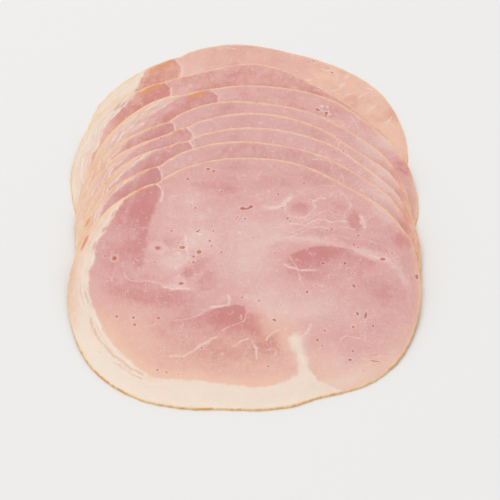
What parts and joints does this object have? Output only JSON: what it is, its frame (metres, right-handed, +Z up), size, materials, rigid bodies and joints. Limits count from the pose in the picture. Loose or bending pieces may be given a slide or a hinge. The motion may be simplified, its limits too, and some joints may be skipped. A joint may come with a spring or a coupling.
{
  "type": "fanned stack of glazed ham slices",
  "caption": "Fanned stack of thin, round slices of cooked glazed ham, each overlapping the last, with a pale fat cap and a thin golden brown rim.",
  "frame": {"origin": "middle of the footprint, on the plane the stack rests on", "axes": "+Z up out of the table, +Y towards the back of the fan, where the lowest slice lies, +X to the right of someone at the front"},
  "size_m": [0.1948, 0.2656, 0.0141],
  "materials": {
    "ham": "moist, half gloss"
  },
  "bodies": {
    "root": {"slice_1": "ham", "slice_2": "ham", "slice_3": "ham", "slice_4": "ham", "slice_5": "ham", "slice_6": "ham", "slice_7": "ham", "slice_8": "ham"}
  },
  "joints": []
}
